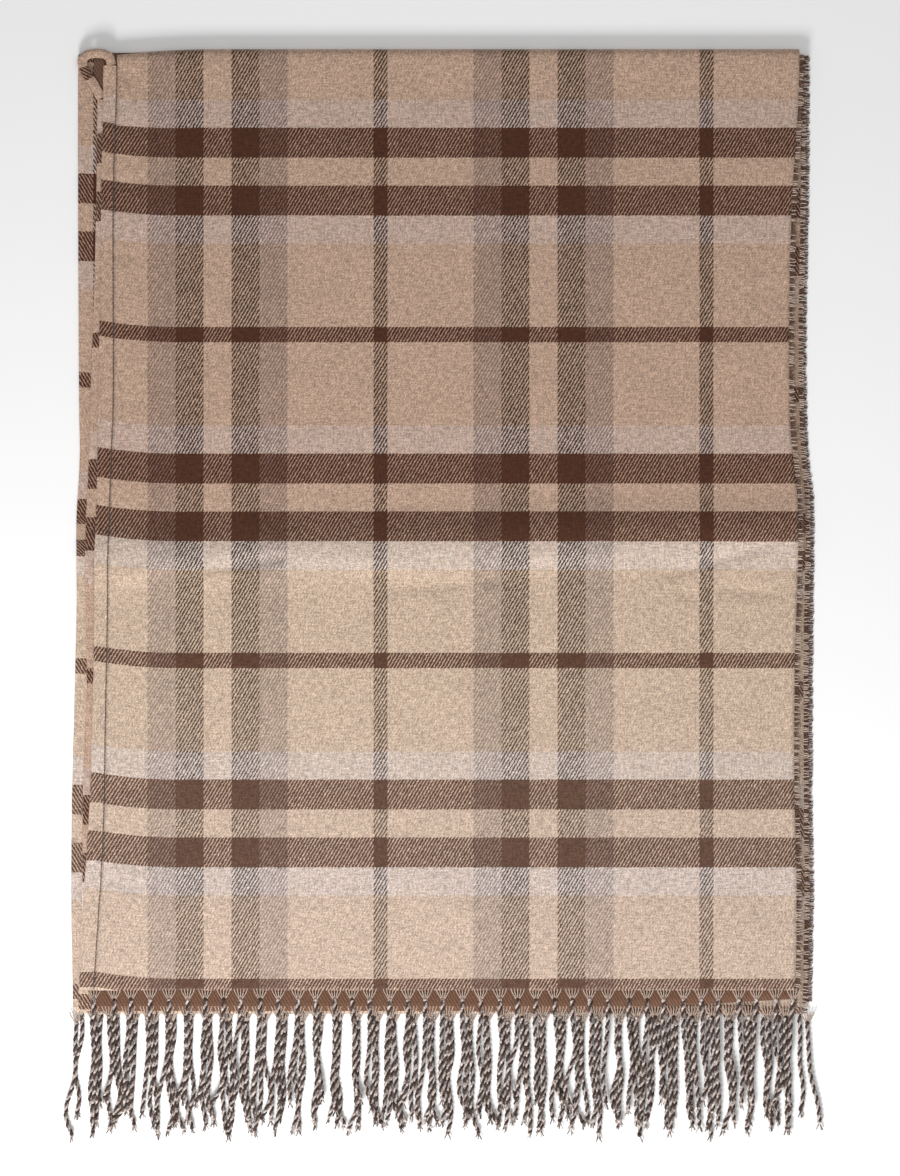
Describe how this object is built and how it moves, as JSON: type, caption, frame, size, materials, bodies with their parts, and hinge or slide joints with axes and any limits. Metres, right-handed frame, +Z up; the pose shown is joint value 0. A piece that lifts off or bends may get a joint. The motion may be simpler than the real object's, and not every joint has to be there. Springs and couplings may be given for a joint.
{
  "type": "folded plaid ruana",
  "caption": "Plaid woven wrap, slit to the neck, folded lengthwise and at the shoulders and laid flat, with hemmed front edges, cut selvedges and a twisted knotted fringe.",
  "frame": {"origin": "on the surface that the garment lies on, at the middle of the folded garment with its fringe", "axes": "+Y along the cloth's length towards the shoulder fold, +X from the centre back fold towards the selvedges, +Z up through the folded layers"},
  "size_m": [0.7518, 1.079, 0.0156],
  "materials": {
    "cloth": "brushed double-faced twill, plaid right side",
    "wrong_side": "brushed double-faced twill, plain brown wrong side",
    "selvedge": "cut edge of twill with short yarn ends",
    "fringe": "two-ply twisted yarn cords with knotted ends"
  },
  "bodies": {
    "root": {"folded_layers": "wrong_side", "right_front_panel": "cloth", "right_front_hem": "cloth", "left_front_hem": "cloth", "neck_hem": "cloth", "selvedge_right_front": "selvedge", "selvedge_left_front": "selvedge", "selvedge_left_back": "selvedge", "selvedge_right_back": "selvedge", "fringe_right_back": "fringe", "fringe_left_back": "fringe", "fringe_left_front": "fringe", "fringe_right_front": "fringe"}
  },
  "joints": []
}
